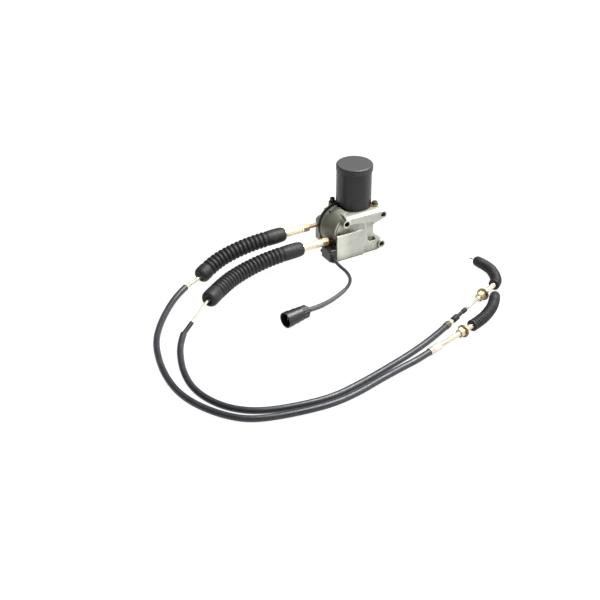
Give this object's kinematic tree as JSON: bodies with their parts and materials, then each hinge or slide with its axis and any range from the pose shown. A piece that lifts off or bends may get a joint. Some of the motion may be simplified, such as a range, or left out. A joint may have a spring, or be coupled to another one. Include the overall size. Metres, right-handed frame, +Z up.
{
  "type": "throttle actuator",
  "caption": "Electric throttle actuator: a round motor on a cast worm-gear case with bolt lugs pulls sheathed control cables that end in threaded adjusters and rubber boots",
  "frame": {"origin": "the motor's axis on the flat underside of the casting", "axes": "+Z up along the motor, cables leave the case towards -X, the mounting lugs face -Y"},
  "size_m": [0.6052, 0.4217, 0.151],
  "materials": {
    "cast_aluminium": "as-cast, lightly blasted",
    "cover_casting": "as-cast",
    "black_rubber": "matt rubber",
    "gasket_rubber": "matt rubber",
    "black_paint": "semi-matt black paint",
    "cap_rubber": "matt rubber",
    "black_plastic": "moulded",
    "grey_plastic": "moulded",
    "yellow_zinc": "yellow zinc plate",
    "clear_zinc": "clear zinc plate",
    "brown_zinc": "aged yellow zinc plate",
    "olive_crimp": "olive zinc plate, crimped",
    "dark_screw": "black oxide",
    "steel": "ground steel",
    "magnet": "sintered ferrite",
    "laminations": "stacked laminations",
    "copper": "enamelled copper",
    "carbon": "pressed carbon",
    "bronze": "sintered bronze",
    "contact": "plated contact",
    "conduit_black": "extruded sheath"
  },
  "bodies": {
    "housing": {"adjuster_lower": "brown_zinc", "adjuster_upper": "brown_zinc", "brush_card": "grey_plastic", "brush_springs": "steel", "brushes": "carbon", "case_gasket": "gasket_rubber", "conduit_lower": "conduit_black", "conduit_upper": "conduit_black", "connector_collar": "black_plastic", "connector_insert": "grey_plastic", "connector_pins": "contact", "connector_shell": "black_plastic", "cover_screws": "clear_zinc", "end_cover": "black_plastic", "end_cover_screws": "dark_screw", "far_adjuster_lower": "yellow_zinc", "far_adjuster_upper": "yellow_zinc", "far_boot_lower": "black_rubber", "far_boot_upper": "black_rubber", "far_ferrule_lower": "olive_crimp", "far_ferrule_upper": "clear_zinc", "far_nut_lower": "yellow_zinc", "far_nut_upper": "yellow_zinc", "far_seal": "black_rubber", "gear_case": "cast_aluminium", "guide_neck": "black_rubber", "guide_tube_lower": "clear_zinc", "guide_tube_upper": "clear_zinc", "lead": "conduit_black", "lead_grommet": "black_rubber", "lock_nuts": "brown_zinc", "lower_bearing": "steel", "magnets": "magnet", "motor_can": "black_paint", "motor_cap": "cap_rubber", "motor_flange": "brown_zinc", "motor_screws": "dark_screw", "near_boot_lower": "black_rubber", "near_boot_upper": "black_rubber", "position_sensor": "grey_plastic", "rear_cover": "cover_casting", "shaft_bushes": "bronze", "sleeve_lower": "yellow_zinc", "sleeve_upper": "yellow_zinc", "upper_bush": "bronze"},
    "rotor": {"armature_shaft": "steel", "armature_core": "laminations", "windings": "copper", "commutator": "copper", "worm": "steel"},
    "output": {"worm_wheel": "bronze", "output_shaft": "steel", "rear_pulley": "clear_zinc", "front_pulley": "clear_zinc", "wire_wrap_upper": "steel", "wire_wrap_lower": "steel"},
    "wire_upper": {"wire_run_upper": "steel"},
    "wire_lower": {"wire_run_lower": "steel"},
    "tip_upper": {"wire_tip_upper": "steel"},
    "tip_lower": {"wire_tip_lower": "steel"}
  },
  "joints": [
    {"name": "motor_spin", "type": "hinge", "parent": "housing", "child": "rotor", "pos_m": [0, 0, 0.1], "axis": [0, 0, 1], "range_deg": [-2700, 2700]},
    {"name": "drum_turn", "type": "hinge", "parent": "housing", "child": "output", "pos_m": [-0.028, 0, 0.04], "axis": [0, 1, 0], "range_deg": [-75, 75]},
    {"name": "wire_upper_slide", "type": "slide", "parent": "housing", "child": "wire_upper", "axis": [1, 0, 0], "range_m": [-0.0112, 0.0112]},
    {"name": "wire_lower_slide", "type": "slide", "parent": "housing", "child": "wire_lower", "axis": [1, 0, 0], "range_m": [-0.0112, 0.0112]},
    {"name": "tip_upper_slide", "type": "slide", "parent": "housing", "child": "tip_upper", "axis": [0.6456, 0.7636, -0.0035], "range_m": [-0.0112, 0.0112]},
    {"name": "tip_lower_slide", "type": "slide", "parent": "housing", "child": "tip_lower", "axis": [-0.2224, 0.975, -0.0034], "range_m": [-0.0112, 0.0112]}
  ],
  "couplings": [
    {"joint": "drum_turn", "follows": "motor_spin", "ratio": 0.027778},
    {"joint": "wire_upper_slide", "follows": "motor_spin", "m_per_rad": 0.00023611},
    {"joint": "wire_lower_slide", "follows": "motor_spin", "m_per_rad": -0.00023611},
    {"joint": "tip_upper_slide", "follows": "motor_spin", "m_per_rad": -0.00023611},
    {"joint": "tip_lower_slide", "follows": "motor_spin", "m_per_rad": 0.00023611}
  ]
}
